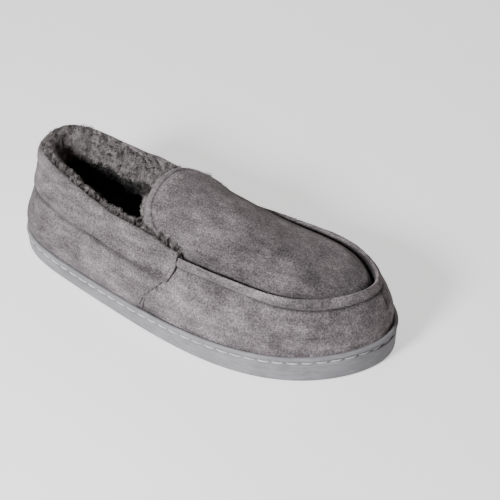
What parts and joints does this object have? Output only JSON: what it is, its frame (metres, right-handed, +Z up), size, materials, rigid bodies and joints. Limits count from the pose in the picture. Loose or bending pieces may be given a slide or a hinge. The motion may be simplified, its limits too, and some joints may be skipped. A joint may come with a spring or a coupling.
{
  "type": "house slipper",
  "caption": "Right-foot moccasin house slipper with a suede upper, crowned apron, deep fleece lining and a stitched rubber cup sole.",
  "frame": {"origin": "centre of the slipper's bounding box, at the ground under the sole", "axes": "+X to the toe, +Y to the inner side of the foot, +Z up"},
  "size_m": [0.2895, 0.1206, 0.0852],
  "materials": {
    "suede_upper": "brushed micro-suede",
    "fleece": "deep pile fleece",
    "sole_rubber": "matt moulded rubber",
    "sole_thread": "waxed thread",
    "upper_thread": "spun thread",
    "board": "fibre board",
    "foam": "open foam",
    "binding": "woven tape",
    "counter": "thin thermoformed sheet"
  },
  "bodies": {
    "root": {"outsole": "sole_rubber", "sidewall_stitches": "sole_thread", "insole_board": "board", "foam_footbed": "foam", "footbed_cover": "fleece", "vamp_wall": "suede_upper", "wall_lining": "fleece", "apron": "suede_upper", "apron_lining": "fleece", "ridge_piping": "suede_upper", "ridge_stitches": "upper_thread", "tab_binding": "binding", "tab_stitches": "upper_thread", "quarter_lateral": "suede_upper", "quarter_medial": "suede_upper", "collar_band": "suede_upper", "collar_foam": "foam", "heel_counter": "counter", "collar_lining": "fleece", "collar_stitches": "upper_thread", "quarter_front_stitches": "upper_thread"}
  },
  "joints": []
}
